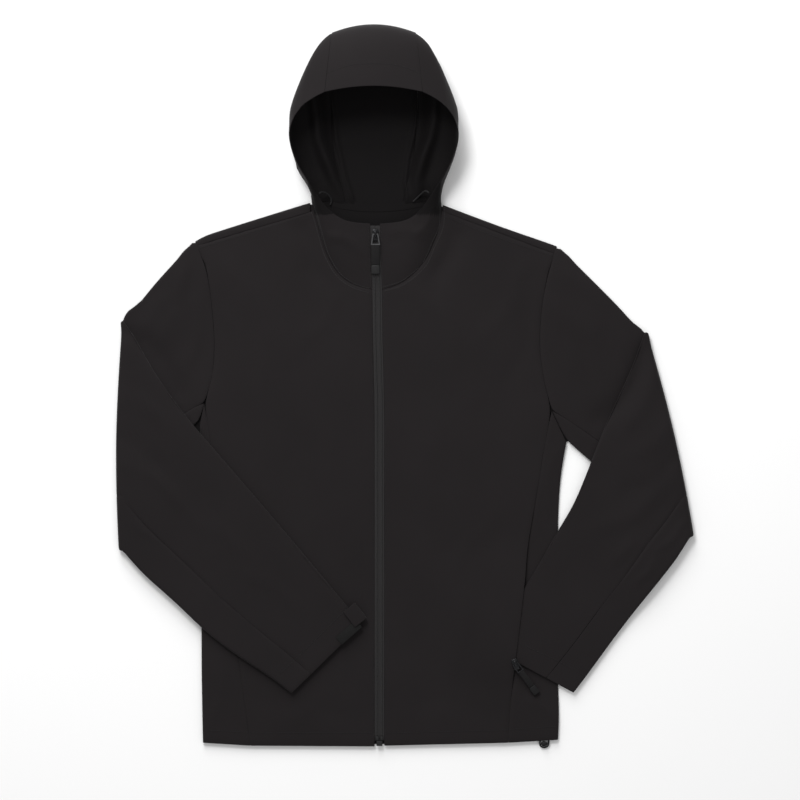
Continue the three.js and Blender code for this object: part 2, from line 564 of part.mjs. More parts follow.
const BOX = { width: 8, length: 7, thickness: 3, y: 4, z: BODY_HEIGHT - 0.5 };
const box = new THREE.BoxGeometry(BOX.width, BOX.length, BOX.thickness);
add('zip_box', box.translate(zipX(0), BOX.y, BOX.z), ZIP_CLOTH);

// Right cuff tab: its fuzzy patch on the cuff, and the strap that loops past the sleeve's edge.
const SLEEVE_TOP = 2 * BODY_HEIGHT + FOLD_GAP;
const CUFF_PATCH = { x: -39.5, y: 155.5, length: 36, width: 13, thickness: 0.7, turn: 41.5 };
const patch = new THREE.BoxGeometry(CUFF_PATCH.length, CUFF_PATCH.width, CUFF_PATCH.thickness);
add('cuff_patch_right', patch, INSIDE, (mesh) => {
  mesh.position.set(CUFF_PATCH.x, CUFF_PATCH.y, SLEEVE_TOP + SEAM + CUFF_PATCH.thickness / 2);
  mesh.rotation.z = THREE.MathUtils.degToRad(CUFF_PATCH.turn);
});
const CUFF_TAB = { x: -21.5, y: 170, turn: 38.5, width: 26, onSleeve: 12, past: 8, curl: 3.2, cloth: 1.3 };
function cuffTab() {
  const { width, onSleeve, past, curl, cloth } = CUFF_TAB;
  const top = SLEEVE_TOP + SEAM + CUFF_PATCH.thickness + SEAM + cloth;
  const rows = (sink) => [0, width].map((y) => [
    point(-onSleeve, y, top - sink),
    ...[90, 60, 30, 0, -30, -60, -90].map((angle) => {
      const a = THREE.MathUtils.degToRad(angle);
      return point(past - curl + (curl - sink) * Math.cos(a), y, top - curl + (curl - sink) * Math.sin(a));
    }),
    point(1.2, y, top - 2 * curl + sink),
  ]);
  return shell(rows(0), rows(cloth));
}
add('cuff_tab_right', cuffTab(), BLACK, (mesh) => {
  mesh.position.set(CUFF_TAB.x, CUFF_TAB.y, 0);
  mesh.rotation.z = THREE.MathUtils.degToRad(CUFF_TAB.turn);
});

// Elastic cords: the loop at the hem with its lock, and the two ends inside the hood.
const CORD = 2.4; // diameter
function cord(points) {
  const curve = new THREE.CatmullRomCurve3(points.map((p) => point(...p)));
  const round = new THREE.Shape().absarc(0, 0, CORD / 2, 0, 2 * Math.PI);
  return new THREE.ExtrudeGeometry(round, {
    steps: 2 * points.length, curveSegments: 4, extrudePath: curve, bevelEnabled: false,
  });
}
const HEM_CORD = [
  [220, 10, 3.2], [220, 6, 3.1], [220.2, 2.6, 2.6], [221.2, 0.2, 2], [223.4, -1.3, 1.7], [226, -1.8, 1.6],
  [228.6, -1.3, 1.7], [230.8, 0.2, 2], [231.8, 2.6, 2.6], [232, 6, 3.1], [232, 10, 3.2],
];
const HOOD_CORD_LEFT = [
  [69, 751, 22], [66.5, 753.4, 18], [63, 753.6, 13.5], [59, 750.4, 9], [55, 746.8, 5.4], [51, 743.2, 3.4],
  [47.5, 740, 3.1],
];
const HOOD_CORD_RIGHT = [
  [-79, 751, 22], [-75.5, 752.4, 17], [-71, 751.5, 12], [-67, 748.6, 8], [-64.2, 744.6, 5], [-63.6, 740, 3.6],
  [-65, 735.6, 3.3],
];
const HEM_LOCK = { x: 226, y: 3.4, z: 3.4, radius: 3.2, length: 9 };
const barrel = new THREE.CapsuleGeometry(HEM_LOCK.radius, HEM_LOCK.length - 2 * HEM_LOCK.radius, 3, 10);
add('hem_lock', barrel.rotateZ(Math.PI / 2).translate(HEM_LOCK.x, HEM_LOCK.y, HEM_LOCK.z), RUBBER);
add('hem_cord', cord(HEM_CORD), BLACK);
add('hood_cord_left', cord(HOOD_CORD_LEFT), ZIP_CLOTH);
add('hood_cord_right', cord(HOOD_CORD_RIGHT), ZIP_CLOTH);

export default jacket;
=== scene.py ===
import math

import bmesh
import bpy
from mathutils import Matrix, Vector
from mathutils.bvhtree import BVHTree
from mathutils.kdtree import KDTree


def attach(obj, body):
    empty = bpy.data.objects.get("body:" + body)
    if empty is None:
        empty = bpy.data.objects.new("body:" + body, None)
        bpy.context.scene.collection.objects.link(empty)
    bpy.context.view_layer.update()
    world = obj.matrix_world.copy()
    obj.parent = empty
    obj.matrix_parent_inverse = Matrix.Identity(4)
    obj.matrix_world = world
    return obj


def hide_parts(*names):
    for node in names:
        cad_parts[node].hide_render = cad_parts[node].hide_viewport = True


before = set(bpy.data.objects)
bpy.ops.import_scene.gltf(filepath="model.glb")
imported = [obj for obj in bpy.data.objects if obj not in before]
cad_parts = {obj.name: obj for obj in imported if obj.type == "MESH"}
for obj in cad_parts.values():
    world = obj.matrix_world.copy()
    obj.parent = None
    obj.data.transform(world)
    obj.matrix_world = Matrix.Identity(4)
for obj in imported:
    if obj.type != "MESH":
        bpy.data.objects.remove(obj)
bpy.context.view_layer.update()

# Camera, straight above the laid-out jacket, far off with a long lens.
# Places on the jacket are in millimetres from the zip's foot at the hem, as a maker would measure them.
MIDDLE = (36.39, 489.75)
PHOTO_MIDDLE = (29.92, 470.56)
PHOTO_WIDTH = 1.088
CAMERA_HEIGHT = 6.0
SENSOR = 36.0


def on_jacket(x, y, z=0.0):
    """A point of the frame, in metres, from a place on the jacket."""
    return Vector(((x - MIDDLE[0]) / 1000, (y - MIDDLE[1]) / 1000, z / 1000))


camera = bpy.data.objects.new("camera", bpy.data.cameras.new("camera"))
camera.data.sensor_width = SENSOR
camera.data.lens = SENSOR * CAMERA_HEIGHT / PHOTO_WIDTH
camera.data.clip_end = 20
camera.location = on_jacket(*PHOTO_MIDDLE, CAMERA_HEIGHT * 1000)
bpy.context.collection.objects.link(camera)
bpy.context.scene.camera = camera

# Elastic cords: braided rubber cord, 2.4 mm thick. One loops out of the hem through its lock,
# two end inside the hood, each coming out of an eyelet behind the rim.
CORD_WIDTH = 2.4
HEM_CORD = [
    (220, 10, 3.2), (220, 6, 3.1), (220.2, 2.6, 2.6), (221.2, 0.2, 2), (223.4, -1.3, 1.7), (226, -1.8, 1.6),
    (228.6, -1.3, 1.7), (230.8, 0.2, 2), (231.8, 2.6, 2.6), (232, 6, 3.1), (232, 10, 3.2),
]
HOOD_CORD_LEFT = [
    (69, 751, 22), (66.5, 753.4, 18), (63, 753.6, 13.5), (59, 750.4, 9), (55, 746.8, 5.4), (51, 743.2, 3.4),
    (47.5, 740, 3.1),
]
HOOD_CORD_RIGHT = [
    (-79, 751, 22), (-75.5, 752.4, 17), (-71, 751.5, 12), (-67, 748.6, 8), (-64.2, 744.6, 5),
    (-63.6, 740, 3.6), (-65, 735.6, 3.3),
]


def principled(name, **sockets):
    """A new material and its shader, with constants set on the shader's own sockets."""
    material = bpy.data.materials.new(name)
    material.use_nodes = True
    shader = material.node_tree.nodes["Principled BSDF"]
    for socket, value in sockets.items():
        shader.inputs[socket.replace("_", " ")].default_value = value
    return material, material.node_tree, shader


def woven_bands(tree, scale, turn=0.0):
    """Fine bands across the piece at an angle, in Object coordinates."""
    place = tree.nodes.new("ShaderNodeTexCoord")
    mapping = tree.nodes.new("ShaderNodeMapping")
    mapping.inputs["Rotation"].default_value[2] = turn
    bands = tree.nodes.new("ShaderNodeTexWave")
    bands.inputs["Scale"].default_value = scale
    bands.inputs["Distortion"].default_value = 0.6
    tree.links.new(place.outputs["Object"], mapping.inputs["Vector"])
    tree.links.new(mapping.outputs["Vector"], bands.inputs["Vector"])
    return bands.outputs["Fac"]


def bumped(tree, shader, height, strength, distance):
    bump = tree.nodes.new("ShaderNodeBump")
    bump.inputs["Strength"].default_value = strength
    bump.inputs["Distance"].default_value = distance
    tree.links.new(height, bump.inputs["Height"])
    tree.links.new(bump.outputs["Normal"], shader.inputs["Normal"])


def mixed(tree, a, b, blend="MULTIPLY", factor=1.0):
    node = tree.nodes.new("ShaderNodeMix")
    node.data_type = "RGBA"
    node.blend_type = blend
    node.inputs["Factor"].default_value = factor
    tree.links.new(a, node.inputs["A"])
    tree.links.new(b, node.inputs["B"])
    return node.outputs["Result"]


def toned(tree, shader, factor, dark, light):
    """Base colour that runs from dark to light with a pattern."""
    ramp = tree.nodes.new("ShaderNodeValToRGB")
    ramp.color_ramp.elements[0].color = (*dark, 1)
    ramp.color_ramp.elements[1].color = (*light, 1)
    tree.links.new(factor, ramp.inputs["Fac"])
    tree.links.new(ramp.outputs["Color"], shader.inputs["Base Color"])


def cord_braid():
    material, tree, shader = principled("cord_braid", Roughness=0.75, Specular_IOR_Level=0.06)
    braid = mixed(tree, woven_bands(tree, 300, 0.8), woven_bands(tree, 300, -0.8))
    toned(tree, shader, braid, (0.008, 0.008, 0.0082), (0.048, 0.047, 0.048))
    bumped(tree, shader, braid, 0.6, 0.0003)
    return material


BRAID = cord_braid()


def smooth_route(points, steps=4):
    """Points of a smooth line through the given ones."""
    route = []
    for i in range(len(points) - 1):
        a, b, c, d = (Vector(points[min(max(k, 0), len(points) - 1)]) for k in (i - 1, i, i + 1, i + 2))
        for s in range(steps):
            t = s / steps
            route.append(b + 0.5 * t * (c - a + t * (2 * a - 5 * b + 4 * c - d + t * (3 * (b - c) + d - a))))
    return route + [Vector(points[-1])]


def elastic_cord(name, node, points):
    line = bpy.data.curves.new(name, "CURVE")
    line.dimensions = "3D"
    line.bevel_depth = CORD_WIDTH / 2000
    line.bevel_resolution = 4
    line.use_fill_caps = True
    route = smooth_route(points)
    spline = line.splines.new("POLY")
    spline.points.add(len(route) - 1)
    for knot, p in zip(spline.points, route):
        knot.co = (*on_jacket(*p), 1)
    line.materials.append(BRAID)
    piece = bpy.data.objects.new(name, line)
    bpy.context.collection.objects.link(piece)
    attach(piece, "jacket")
    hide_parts(node)


elastic_cord("hem_cord_loop", "hem_cord", HEM_CORD)
elastic_cord("hood_cord_end_left", "hood_cord_left", HOOD_CORD_LEFT)
elastic_cord("hood_cord_end_right", "hood_cord_right", HOOD_CORD_RIGHT)

# Softshell cloth: black woven polyester bonded to a thin fleece, matt, with a very fine plain weave.
# The panels are cut single and sewn with flat seams, each seam a soft groove between two rounded edges.
CLOTH_DARK = (0.0084, 0.0070, 0.0074)
CLOTH_LIGHT = (0.0142, 0.0118, 0.0125)
# The inside colours are partly the inside's own darker cloth and partly painted shade, for the shade inside
# the hood, the collar and the neck.
LINING_AND_SHADE_DARK = (0.0029, 0.0023, 0.0025)
LINING_AND_SHADE_LIGHT = (0.0048, 0.0040, 0.0043)
WEAVE_SCALE = 420


def softshell(name, dark, light, sheen):
    material, tree, shader = principled(
        name, Roughness=0.74, Sheen_Weight=sheen, Sheen_Roughness=0.45, Specular_IOR_Level=0.10)
    weave = mixed(tree, woven_bands(tree, WEAVE_SCALE), woven_bands(tree, WEAVE_SCALE, math.pi / 2))
    cloudy = tree.nodes.new("ShaderNodeTexNoise")
    cloudy.inputs["Scale"].default_value = 9
    cloudy.inputs["Detail"].default_value = 3
    place = tree.nodes.new("ShaderNodeTexCoord")
    tree.links.new(place.outputs["Object"], cloudy.inputs["Vector"])
    toned(tree, shader, mixed(tree, cloudy.outputs["Fac"], weave, "MIX", 0.35), dark, light)
    bumped(tree, shader, weave, 0.35, 0.00015)
    return material


OUTSIDE = softshell("softshell_outside", CLOTH_DARK, CLOTH_LIGHT, 0.06)
INSIDE_AND_SHADE = softshell("softshell_inside_and_shade", LINING_AND_SHADE_DARK, LINING_AND_SHADE_LIGHT, 0.02)
CREASE_BOW = 0.12
CREASE_SIDES = 0.5
CREASE_ENDS = 0.9


def crease_height(creases, x, y):
    """How far the cloth is lifted at a place by the creases near it, in millimetres."""
    lift = 0.0
    for x0, y0, x1, y1, width, height in creases:
        along = Vector((x1 - x0, y1 - y0))
        length = along.length
        along /= length
        away = Vector((x - x0, y - y0))
        t = away.dot(along)
        bend = CREASE_BOW * length * math.sin(math.pi * min(max(t / length, 0), 1))
        side = away.x * -along.y + away.y * along.x - bend
        beyond = max(0.0, -t, t - length)
        fade = (side / (CREASE_SIDES * width)) ** 2
        lift += height * math.exp(-fade - (beyond / (CREASE_ENDS * width)) ** 2)
    return lift


WELD = 2e-5
JOIN_FACES = 0.7
JOIN_SHAPES = 3.1
SHARP_ANGLE = 0.9
RIM_PARTS = 4
SAME_WAY = 0.9
CUT_EDGE_WIDTH = 0.0019
SEAM_CLOSED = 0.0002
SEAM_ROUND = 0.0007


def rounded_mesh(node, levels, round_by=SEAM_ROUND):
    """A smooth copy of a solid with its cut edges rounded and pushed out, and points along those edges."""
    bm = bmesh.new()
    bm.from_mesh(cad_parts[node].data)
    bmesh.ops.remove_doubles(bm, verts=bm.verts, dist=WELD)
    bmesh.ops.join_triangles(bm, faces=bm.faces[:], angle_face_threshold=JOIN_FACES,
                             angle_shape_threshold=JOIN_SHAPES)
    bm.normal_update()
    sharp = [e for e in bm.edges if e.is_manifold and e.calc_face_angle() > SHARP_ANGLE]
    rim = [e.verts[0].co.lerp(e.verts[1].co, i / RIM_PARTS) for e in sharp for i in range(RIM_PARTS)]
    cut = set(sharp)
    ways = {}
    for face in bm.faces:
        narrow = face.calc_area() / max(e.calc_length() for e in face.edges) < CUT_EDGE_WIDTH
        if narrow and len(cut.intersection(face.edges)) >= 2:
            for v in face.verts:
                taken = ways.setdefault(v, [])
                if all(face.normal.dot(way) < SAME_WAY for way in taken):
                    taken.append(face.normal.copy())
    for v, taken in ways.items():
        for way in taken:
            v.co += way * SEAM_CLOSED
    bmesh.ops.bevel(bm, geom=sharp, offset=round_by, offset_type="OFFSET", affect="EDGES", segments=2,
                    profile=0.5, material=-1, clamp_overlap=False)
    mesh = bpy.data.meshes.new(node)
    bm.to_mesh(mesh)
    bm.free()
    piece = bpy.data.objects.new(node + "_rounded", mesh)
    bpy.context.collection.objects.link(piece)
    smooth = piece.modifiers.new("smooth", "SUBSURF")
    smooth.levels = smooth.render_levels = levels
    bpy.context.view_layer.update()
    done = bpy.data.meshes.new_from_object(piece.evaluated_get(bpy.context.evaluated_depsgraph_get()))
    bpy.data.objects.remove(piece)
    return done, rim


LONGEST_EDGE = 0.014
SPLITS = 3
SEAM_DIP = 0.7
SEAM_DIP_WIDTH = 0.0045
SEAM_DIP_CURVE = 1.5
CREASE_START = 0.02
# Only the cloth on top is drawn down and creased. This sets in between two heights, in millimetres,
# which lie higher on a forearm, and between two shares of lying level.
UPPER_ARM_TOP = 7.0
FOREARM_HEIGHTS = (9.5, 12)
BODY_HEIGHTS = (2, 4)
LYING_LEVEL = (0.4, 0.9)


def share_above(z, low, high):
    return min(max((z - low) / (high - low), 0), 1)


def sewn_panel(name, node, levels=2, dips=True, creases=(), eased=(),
               fold=None):
    """One panel of cloth: rounded at its cut edges, drawn down along its seams, and creased."""
    bm = bmesh.new()
    mesh, rim = rounded_mesh(node, levels)
    bm.from_mesh(mesh)
    for _ in range(SPLITS):
        long = [e for e in bm.edges if e.calc_length() > LONGEST_EDGE]
        if not long:
            break
        bmesh.ops.subdivide_edges(bm, edges=long, cuts=1, use_grid_fill=True)
    bm.normal_update()
    seams = KDTree(len(rim))
    for i, point in enumerate(rim):
        seams.insert(point, i)
    seams.balance()
    for v in bm.verts:
        near = seams.find(v.co)[2]
        z = 1000 * v.co.z
        forearm = "sleeve" in node and z > UPPER_ARM_TOP
        share = share_above(z, *(FOREARM_HEIGHTS if forearm else BODY_HEIGHTS))
        share *= share_above(abs(v.normal.z), *LYING_LEVEL) if near > SEAM_DIP_WIDTH / 3 else 1
        lift = 0.0
        if dips and near < SEAM_DIP_WIDTH:
            lift -= SEAM_DIP * (1 - near / SEAM_DIP_WIDTH) ** SEAM_DIP_CURVE
        if creases:
            x, y = 1000 * v.co.x + MIDDLE[0], 1000 * v.co.y + MIDDLE[1]
            lift += crease_height(creases, x, y) * min(1.0, near / CREASE_START)
        v.co.z += share * lift / 1000
        if fold:
            v.co.z += fold(1000 * v.co.x + MIDDLE[0], 1000 * v.co.y + MIDDLE[1], z) / 1000
        for px, py, reach, dx, dy in eased:
            away = (v.co.xy - on_jacket(px, py).xy).length * 1000 / reach
            v.co.xy += Vector((dx, dy)) * math.exp(-away ** 2) / 1000
    bmesh.ops.triangulate(bm, faces=[f for f in bm.faces if len(f.verts) > 4])
    for face in bm.faces:
        face.smooth = True
    mesh = bpy.data.meshes.new(name)
    bm.to_mesh(mesh)
    bm.free()
    mesh.materials.append(OUTSIDE)
    mesh.materials.append(INSIDE_AND_SHADE)
    piece = bpy.data.objects.new(name, mesh)
    bpy.context.collection.objects.link(piece)
    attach(piece, "jacket")
    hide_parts(node)
    return piece


# Body: the back with its shoulders rolled forward, two fronts, and two side panels round the sides.
# All are single cloth, sewn edge to edge and laid on each other, with soft pulls below the armholes.
# A crease runs from one place to another, with a width and a height: a ridge above nought, a trough below.
BODY_CREASES = {
    "front_right": [
        (-118, 722, -88, 652, 34, -2.6),
        (-196, 640, -150, 560, 26, 0.8), (-205, 600, -168, 520, 18, -0.7), (-60, 604, -96, 556, 22, 0.7),
        (-30, 300, -60, 420, 40, 0.5), (-150, 60, -60, 44, 26, -0.5), (-120, 36, -40, 60, 20, 0.5),
    ],
    "front_left": [
        (108, 722, 84, 652, 34, -2.6),
        (190, 640, 150, 566, 24, 0.8), (206, 588, 176, 500, 20, -0.7), (62, 606, 104, 550, 24, 0.7),
        (60, 300, 96, 440, 42, 0.5), (110, 250, 150, 300, 22, 0.6), (60, 60, 150, 40, 26, -0.5),
        (120, 200, 100, 120, 26, 0.6),
    ],
    "side_left": [(214, 60, 236, 40, 12, 1.0), (232, 330, 240, 396, 10, 0.5)],
    "side_right": [(-214, 90, -226, 40, 12, 0.6)],
}
# Where cloth is eased out to the shoulder point: place, reach and shift.
BACK_EASED = [(-248, 688.5, 10, 1.0, -1.8)]
panels = [
    sewn_panel("back_cloth", "back_panel", levels=1, eased=BACK_EASED),
    sewn_panel("front_cloth_right", "front_right",
               creases=BODY_CREASES["front_right"]),
    sewn_panel("front_cloth_left", "front_left",
               creases=BODY_CREASES["front_left"]),
    sewn_panel("side_cloth_right", "side_right",
               creases=BODY_CREASES["side_right"]),
    sewn_panel("side_cloth_left", "side_left",
               creases=BODY_CREASES["side_left"]),
]

# Sleeves: a top sleeve and an under sleeve each, sewn into a tube, laid flat and folded over at the elbow.
# The forearm lies on the upper arm, which is pressed down along the forearm's edge.
SLEEVE_CREASES = {
    "sleeve_right_top": [
        (-346, 569, -268, 458, 24, -3.0),
        (-268, 640, -296, 560, 20, 1.6), (-244, 600, -262, 520, 16, 1.3), (-252, 640, -270, 600, 12, -1.0),
        (-300, 600, -330, 560, 16, 1.3), (-345, 470, -290, 440, 16, 1.6), (-350, 420, -300, 380, 18, -1.3),
        (-340, 380, -270, 330, 16, 1.4), (-240, 300, -190, 270, 22, 1.0), (-170, 230, -120, 196, 18, 0.8),
    ],
    "sleeve_right_under": [(-330, 300, -300, 262, 12, 1.1), (-250, 214, -222, 182, 12, 0.5)],
    "sleeve_left_top": [
        (362, 556, 300, 440, 24, -3.0),
        (262, 640, 296, 580, 20, 1.6), (240, 600, 262, 520, 16, 1.3), (300, 560, 330, 510, 16, 1.4),
        (258, 560, 282, 490, 12, -1.0), (372, 500, 340, 440, 16, 1.4), (392, 430, 340, 396, 18, 1.6),
        (400, 390, 340, 350, 16, -1.4), (380, 346, 300, 300, 18, 1.6), (340, 270, 290, 246, 16, 1.4),
        (320, 240, 262, 222, 14, -1.1), (286, 190, 240, 176, 16, 1.0),
    ],
    "sleeve_left_under": [
        (410, 300, 380, 270, 12, 1.3), (372, 250, 352, 226, 12, 1.3), (330, 190, 306, 172, 12, -1.0),
        (262, 452, 282, 420, 10, 1.3),
    ],
}
SLEEVE_EASED = {
    "sleeve_right_top": [(-245, 679, 6, 0.5, 5.0), (-262, 670, 9, -0.8, 1.0), (-334, 584, 16, -7.0, 3.5)],
    "sleeve_left_top": [(242, 668, 7, 0.0, 6.5), (258, 664, 9, 0.8, 1.0), (359, 562, 14, 1.5, 4.5)],
}
for name, node, flat, area, rests_on in (
    ("sleeve_cloth_right_top", "sleeve_right_top", (0.360, 0.660), 0.172, "front_right"),
    ("sleeve_cloth_right_under", "sleeve_right_under", (0.110, 0.600), 0.040, "front_right"),
    ("sleeve_cloth_left_top", "sleeve_left_top", (0.360, 0.660), 0.165, "side_left"),
    ("sleeve_cloth_left_under", "sleeve_left_under", (0.110, 0.560), 0.038, "side_left"),
):
    panels.append(sewn_panel(name, node, creases=SLEEVE_CREASES[node],
                             eased=SLEEVE_EASED.get(node, ())))

# Hood: a middle piece over the head and two sides that run down into the stand collar, sewn to the neck.
# It stands open, and inside, its back has a bead and a fold beside each seam.
HOOD_CREASES = {
    "hood_side_right": [
        (-64, 692, -22, 672, 14, 1.2), (-30, 708, -12, 692, 8, -1.0), (-70, 730, -52, 700, 12, 0.9),
    ],
    "hood_side_left": [
        (18, 700, 60, 694, 14, 1.2), (10, 706, 22, 686, 8, -1.0), (74, 728, 56, 700, 12, 0.9),
    ],
}
# The hood's lining stands in a fold along each back seam: the seam's x at each y, right and left.
HOOD_SEAMS = [
    (735, -36, 40), (748, -38, 41), (770, -46, 39), (800, -53, 43), (824, -59, 49), (849, -61, 54),
    (877, -65, 54), (910, -68, 57),
]
FOLD_RISE = 13.0
FOLD_AWAY = 21.0
FOLD_HALF = 9.0
FOLD_GROWS = 60
FOLD_ENDS = 25
FOLD_SPREADS = 90
FOLD_FADES = 8
BEAD_RISE = 3.2
BEAD_HALF = 2.6
BEAD_IN = 2
BEAD_GROWS = 10
FOLD_CEILING = 30


def lining_fold(x, y, z):
    """How far the hood's back is lifted inside, by the bead at its seam and the fold beside it."""
    above, below = y - HOOD_SEAMS[0][0], HOOD_SEAMS[-1][0] - y
    if z > FOLD_CEILING or above <= 0 or below <= 0:
        return 0.0
    for (y0, right0, left0), (y1, right1, left1) in zip(HOOD_SEAMS, HOOD_SEAMS[1:]):
        if y <= y1:
            t = (y - y0) / (y1 - y0)
            right, left = right0 + t * (right1 - right0), left0 + t * (left1 - left0)
            break
    away = max(right - x, x - left)
    rise = min(1, above / FOLD_GROWS) * min(1, below / FOLD_ENDS)
    spread = FOLD_AWAY * (0.45 + 0.55 * min(1, above / FOLD_SPREADS))
    fold = FOLD_RISE * math.exp(-((away - spread) / FOLD_HALF) ** 2)
    bead = BEAD_RISE * math.exp(-((away + BEAD_IN) / BEAD_HALF) ** 2)
    bead *= min(1, above / BEAD_GROWS, below / BEAD_GROWS)
    return rise * fold * share_above(FOLD_CEILING - z, 0, FOLD_FADES) + bead


HOOD_HEART = on_jacket(-5, 820, 44)
COLLAR_TOP = on_jacket(0, 722).y
COLLAR_LOW = on_jacket(0, 690).y
COLLAR_HALF = 0.082
COLLAR_FACES_IN = 0.25
NECK_MIDDLE = on_jacket(-2, 0).x
UNDER_BRIM = on_jacket(0, 905).y
BACK_HALF = 0.09
BACK_FACES_UP = 0.1
hood = []
for name, node, flat, area in (
    ("hood_cloth_right", "hood_side_right", (0.140, 0.340), 0.0257),
    ("hood_cloth_middle", "hood_centre", (0.130, 0.420), 0.0403),
    ("hood_cloth_left", "hood_side_left", (0.140, 0.340), 0.0263),
):
    hood.append(sewn_panel(name, node, dips=False,
                           creases=HOOD_CREASES.get(node, ()), fold=lining_fold))
# Faces inside the hood and collar, and the hood's back seen under the brim, take the inside colours with
# their painted shade.
for piece in hood:
    for face in piece.data.polygons:
        at = face.center
        inward = (HOOD_HEART - at).dot(face.normal) > 0 and at.y > COLLAR_TOP
        on_back = at.y > COLLAR_TOP and at.z < FOLD_CEILING / 1000 and face.normal.z > BACK_FACES_UP
        collar = COLLAR_LOW < at.y <= COLLAR_TOP and face.normal.y > COLLAR_FACES_IN
        under_brim = at.y < UNDER_BRIM and abs(at.x - HOOD_HEART.x) < BACK_HALF
        face.material_index = 1 if inward or collar or on_back and under_brim else 0
# The back's inside at the neck takes the inside colours too, with the same painted shade.
for face in panels[0].data.polygons:
    in_neck = face.center.y > COLLAR_LOW and abs(face.center.x - NECK_MIDDLE) < COLLAR_HALF
    face.material_index = 1 if in_neck and face.normal.z > 0 else 0
panels += hood

# Seam bindings: strips of the same cloth that cover the raw edges inside, in the inside colours with their
# painted shade.
# They are sewn over the armhole seams and the back neck seam; under the arms they widen into dark strips that
# fill the armpit gap with painted shade.
BINDING_LOW = 1.55
BINDING_HIGH = 1.95
BINDINGS = {
    "armhole_binding_right": [
        (-247, 676, 14), (-240, 664, 16), (-232, 640, 16), (-228, 610, 14), (-224, 545, 14), (-229, 490, 16),
        (-238, 458, 20), (-245, 434, 28), (-246, 420, 26),
    ],
    "armhole_binding_left": [
        (241, 668, 14), (231, 620, 14), (222, 566, 14), (224, 505, 16), (237, 462, 22), (247, 434, 20),
        (255, 413, 9),
    ],
    "neck_binding": [(-77, 741, 10), (-40, 735, 12), (-3, 732.5, 12), (34, 735, 12), (71, 741, 10)],
}


def binding(name, path):
    """A flat strip along a path of places and widths."""
    bm = bmesh.new()
    rows = []
    route = smooth_route(path)
    for i, at in enumerate(route):
        ahead = route[min(i + 1, len(route) - 1)] - route[max(i - 1, 0)]
        across = Vector((-ahead.y, ahead.x)).normalized() * at.z / 2
        sides = ((-1, BINDING_LOW), (1, BINDING_LOW), (1, BINDING_HIGH), (-1, BINDING_HIGH))
        rows.append([bm.verts.new(on_jacket(at.x + s * across.x, at.y + s * across.y, z)) for s, z in sides])
    for a, b in zip(rows, rows[1:]):
        for k in range(4):
            bm.faces.new((a[k], a[k - 1], b[k - 1], b[k]))
    bm.faces.new(rows[0])
    bm.faces.new(rows[-1][::-1])
    bmesh.ops.recalc_face_normals(bm, faces=bm.faces)
    mesh = bpy.data.meshes.new(name)
    bm.to_mesh(mesh)
    bm.free()
    mesh.materials.append(INSIDE_AND_SHADE)
    piece = bpy.data.objects.new(name, mesh)
    bpy.context.collection.objects.link(piece)
    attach(piece, "jacket")


for name, path in BINDINGS.items():
    binding(name, path)

# Zip tapes: woven polyester strips with a raised bead along the middle, where the coil lies behind the face.
# Each is sewn under the edge of its front.
TAPE_EDGE = 0.0003
TAPE_DARK = (0.0070, 0.0066, 0.0068)
TAPE_LIGHT = (0.0240, 0.0228, 0.0232)


def zip_weave():
    material, tree, shader = principled(
        "zip_weave", Roughness=0.62, Sheen_Weight=0.05, Specular_IOR_Level=0.12)
    twill = mixed(tree, woven_bands(tree, 240, 0.6), woven_bands(tree, 240, -0.6), "ADD", 0.6)
    toned(tree, shader, twill, TAPE_DARK, TAPE_LIGHT)
    bumped(tree, shader, twill, 0.5, 0.0003)
    return material


WOVEN_TAPE = zip_weave()


def finished(name, bm, material, body, node=None):
    """A mesh object from a bmesh, riding on its body in place of the solid it stands for."""
    for face in bm.faces:
        face.smooth = True
    mesh = bpy.data.meshes.new(name)
    bm.to_mesh(mesh)
    bm.free()
    mesh.materials.append(material)
    piece = bpy.data.objects.new(name, mesh)
    bpy.context.collection.objects.link(piece)
    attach(piece, body)
    if node:
        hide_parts(node)
    return piece


for side in ("right", "left"):
    bm = bmesh.new()
    bm.from_mesh(rounded_mesh("zip_tape_" + side, 1, round_by=TAPE_EDGE)[0])
    tape = finished("zip_tape_cloth_" + side, bm, WOVEN_TAPE, "jacket", "zip_tape_" + side)
    panels.append(tape)

# Hard trims: pressed metal sliders with cast bails, pull tapes with moulded ends, and moulded stops and box.
# They are clamped or moulded on the zips. The cord lock slides on the hem cord, and the cuff's strap is
# held by its hook patch.
TRIM_WELD = 2e-6
TRIM_FLAT = 0.02
TRIM_SHARP = 0.5


def speckled(name, dark, light, scale, roughness, metallic, strength):
    material, tree, shader = principled(name, Roughness=roughness, Metallic=metallic, Specular_IOR_Level=0.15)
    grain = tree.nodes.new("ShaderNodeTexNoise")
    grain.inputs["Scale"].default_value = scale
    place = tree.nodes.new("ShaderNodeTexCoord")
    tree.links.new(place.outputs["Object"], grain.inputs["Vector"])
    toned(tree, shader, grain.outputs["Fac"], dark, light)
    bumped(tree, shader, grain.outputs["Fac"], strength, 0.0002)
    return material


GREY_METAL = speckled("grey_metal", (0.009, 0.009, 0.010), (0.034, 0.034, 0.036), 500, 0.32, 0.85, 0.15)
BRIGHT_METAL = speckled("bright_metal", (0.06, 0.06, 0.062), (0.17, 0.17, 0.175), 500, 0.28, 0.9, 0.15)
PULL_TAPE = speckled("pull_tape", (0.0055, 0.0052, 0.0054), (0.0110, 0.0104, 0.0107), 1400, 0.8, 0, 0.5)
MOULDED = speckled("moulded_plastic", (0.010, 0.010, 0.0103), (0.020, 0.0198, 0.0200), 900, 0.5, 0, 0.3)
DARK_MOULDED = speckled("dark_moulded", (0.005, 0.005, 0.0052), (0.011, 0.0108, 0.0110), 900, 0.6, 0, 0.3)
HOOK_PILE = speckled("hook_pile", (0.003, 0.003, 0.003), (0.014, 0.014, 0.014), 1600, 0.9, 0, 1.0)


